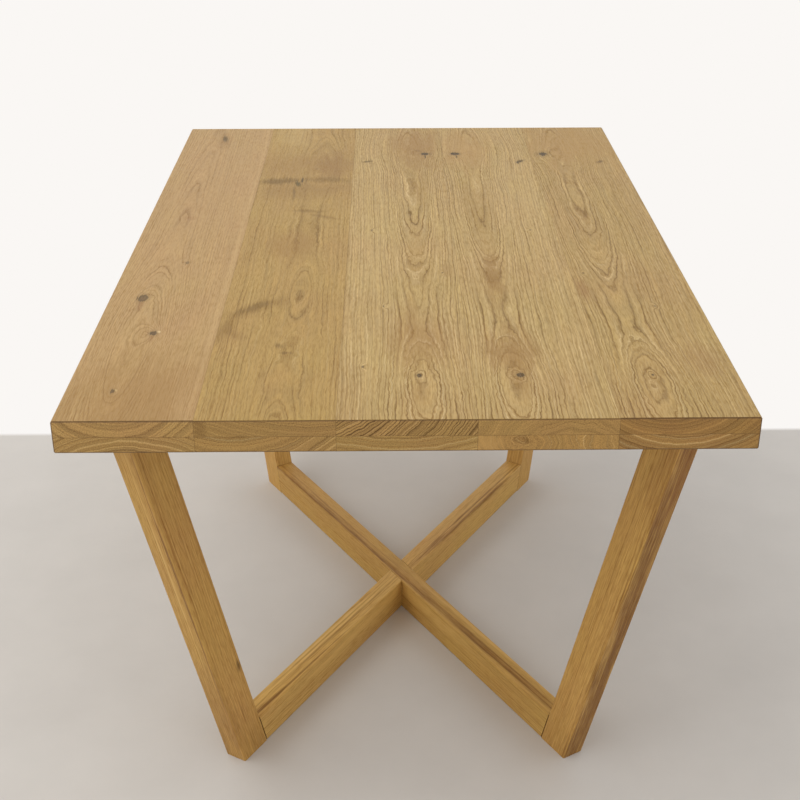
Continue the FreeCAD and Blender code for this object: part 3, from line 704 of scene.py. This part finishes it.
# Zinc-plated steel, turned and bright: grey with a faint blue, a tight sheen and fine turning marks,
# which are drawn coarser than they are so that they show.
def zincPlatedSteel():
    material, tree = newMaterial("zinc-plated steel")
    place = addNode(tree, "TexCoord", {}, out="Object")
    marks = addNode(tree, "TexNoise", {"Vector": place, "Scale": 1 / steelLook["marks"], "Detail": 3.0})
    smooth, dull = steelLook["rough"]
    rough = addNode(tree, "MapRange", {"Value": marks, "To Min": smooth, "To Max": dull})
    colour = addNode(tree, "Mix", {0: marks, 6: paint(steelLook["light"]), 7: paint(steelLook["dark"])},
                     out=2, data_type="RGBA")
    relief = addNode(tree, "Bump", {"Height": marks, "Strength": steelLook["relief"],
                                    "Distance": steelLook["depth"]})
    surface = addNode(tree, "BsdfPrincipled", {"Base Color": colour, "Metallic": 1.0, "Roughness": rough,
                                               "Normal": relief})
    addNode(tree, "OutputMaterial", {"Surface": surface})
    return material


steel = zincPlatedSteel()
for node in ("top_fixing_bolts", "bolt_washers", "threaded_inserts", "lap_screws"):
    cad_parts[node].material_slots[0].material = steel

# planed beech, left raw: even, pale and slightly pink, with tiny brown flecks
beech = oakMaterial("planed beech", {
    **plainOak, "late": "#D9B48A", "early": "#C69C70", "pore": "#A87A50", "ringDepth": 0.4,
    "poreDepth": 0.3, "rough": (0.6, 0.7), "seed": 21.0})
for node in ("floor_rail_tenons", "top_rail_tenons"):
    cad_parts[node].material_slots[0].material = beech
print("joinery: tenons, bolts, washers, inserts, lap screws")

room = {
    "floor": "#CCCAC7",
    "cloudSize": 0.2,                   # metres
    "cloudRange": (0.3, 0.7),           # the part of the noise that makes them
    "cloudTone": 0.03,                  # how much lighter or darker they are
    "size": 60.0,                       # metres along a side of the floor
    "drop": 0.2 * mm,                   # a hair under the feet, so that no two faces lie in one plane
    "backdrop": "#FAF7F4",
    "backdropFrom": (-0.0021, 0.6854),  # where the floor turns white: slope, and metres behind the middle
    "blend": 0.015,                     # metres over which it does
    "sky": 0.95,                        # strength of the light from all round
}


# 1 where the camera, metal or glass sees a surface, 0 where the surface only lights others
def seenDirectly(tree):
    rays = addNode(tree, "LightPath", {}).node.outputs
    seen = addNode(tree, "Math", {0: rays["Is Camera Ray"], 1: rays["Is Glossy Ray"]}, operation="MAXIMUM")
    return addNode(tree, "Math", {0: seen, 1: rays["Is Transmission Ray"]}, operation="MAXIMUM")


# troweled concrete, pale grey: matt with faint clouds; behind the table it turns into the white backdrop
def concreteFloor():
    material, tree = newMaterial("pale concrete floor")
    place = addNode(tree, "TexCoord", {}, out="Object")
    clouds = addNode(tree, "TexNoise", {"Vector": place, "Scale": 1 / room["cloudSize"], "Detail": 5.0,
                                        "Roughness": 0.6})
    low, high = room["cloudRange"]
    clouds = addNode(tree, "MapRange", {"Value": clouds, "From Min": low, "From Max": high,
                                        "To Min": 1 - room["cloudTone"], "To Max": 1 + room["cloudTone"]})
    colour = addNode(tree, "HueSaturation", {"Color": paint(room["floor"]), "Value": clouds})
    matt = addNode(tree, "BsdfDiffuse", {"Color": colour})
    white = addNode(tree, "Emission", {"Color": paint(room["backdrop"]), "Strength": 1.0})
    slope, start = room["backdropFrom"]
    behind = addNode(tree, "VectorMath", {0: place, 1: (slope, 1, 0)}, out="Value", operation="DOT_PRODUCT")
    behind = addNode(tree, "MapRange", {"Value": behind, "From Min": start,
                                        "From Max": start + room["blend"]})
    whitened = addNode(tree, "Math", {0: seenDirectly(tree), 1: behind}, operation="MULTIPLY")
    surface = addNode(tree, "MixShader", {0: whitened, 1: matt, 2: white})
    addNode(tree, "OutputMaterial", {"Surface": surface})
    return material


slab = bmesh.new()
bmesh.ops.create_grid(slab, x_segments=1, y_segments=1, size=room["size"] / 2,
                      matrix=Matrix.Translation((0, 0, -room["drop"])))
floorMesh = bpy.data.meshes.new("floor")
slab.to_mesh(floorMesh)
slab.free()
floorMesh.materials.append(concreteFloor())
floor = bpy.data.objects.new("floor", floorMesh)
bpy.context.scene.collection.objects.link(floor)

# white all round where it is seen, and a little weaker where it lights the table
world = bpy.data.worlds.new("studio")
world.use_nodes = True
worldTree = world.node_tree
worldTree.nodes.clear()
level = addNode(worldTree, "MapRange", {"Value": seenDirectly(worldTree), "To Min": room["sky"],
                                        "To Max": 1.0})
sky = addNode(worldTree, "Background", {"Color": paint(room["backdrop"]), "Strength": level})
addNode(worldTree, "OutputWorld", {"Surface": sky})
bpy.context.scene.world = world

lamp = {"place": (-3.0, -1.2, 4.6), "aim": (0, 0, 0.5), "size": 6.0, "power": 100.0, "colour": "#FFF9F0"}
light = bpy.data.lights.new("softbox", "AREA")
light.shape = "DISK"
light.size = lamp["size"]
light.energy = lamp["power"]
light.color = paint(lamp["colour"])[:3]
softbox = bpy.data.objects.new("softbox", light)
softbox.location = lamp["place"]
softbox.rotation_euler = (Vector(lamp["aim"]) - Vector(lamp["place"])).to_track_quat("-Z", "Y").to_euler()
bpy.context.scene.collection.objects.link(softbox)

eye = {"place": (-0.02384, -2.20304, 1.52358), "down": 26.388, "right": 0.610, "roll": 0.0835,
       "lens": 60.36, "sensor": 36}
lens = bpy.data.cameras.new("camera")
lens.lens = eye["lens"]
lens.sensor_width = eye["sensor"]
camera = bpy.data.objects.new("camera", lens)
camera.location = eye["place"]
camera.rotation_euler = (math.radians(90 - eye["down"]), math.radians(eye["roll"]),
                         math.radians(-eye["right"]))
bpy.context.scene.collection.objects.link(camera)
bpy.context.scene.camera = camera
bpy.context.scene.view_settings.view_transform = "Standard"
print("floor, light and camera")
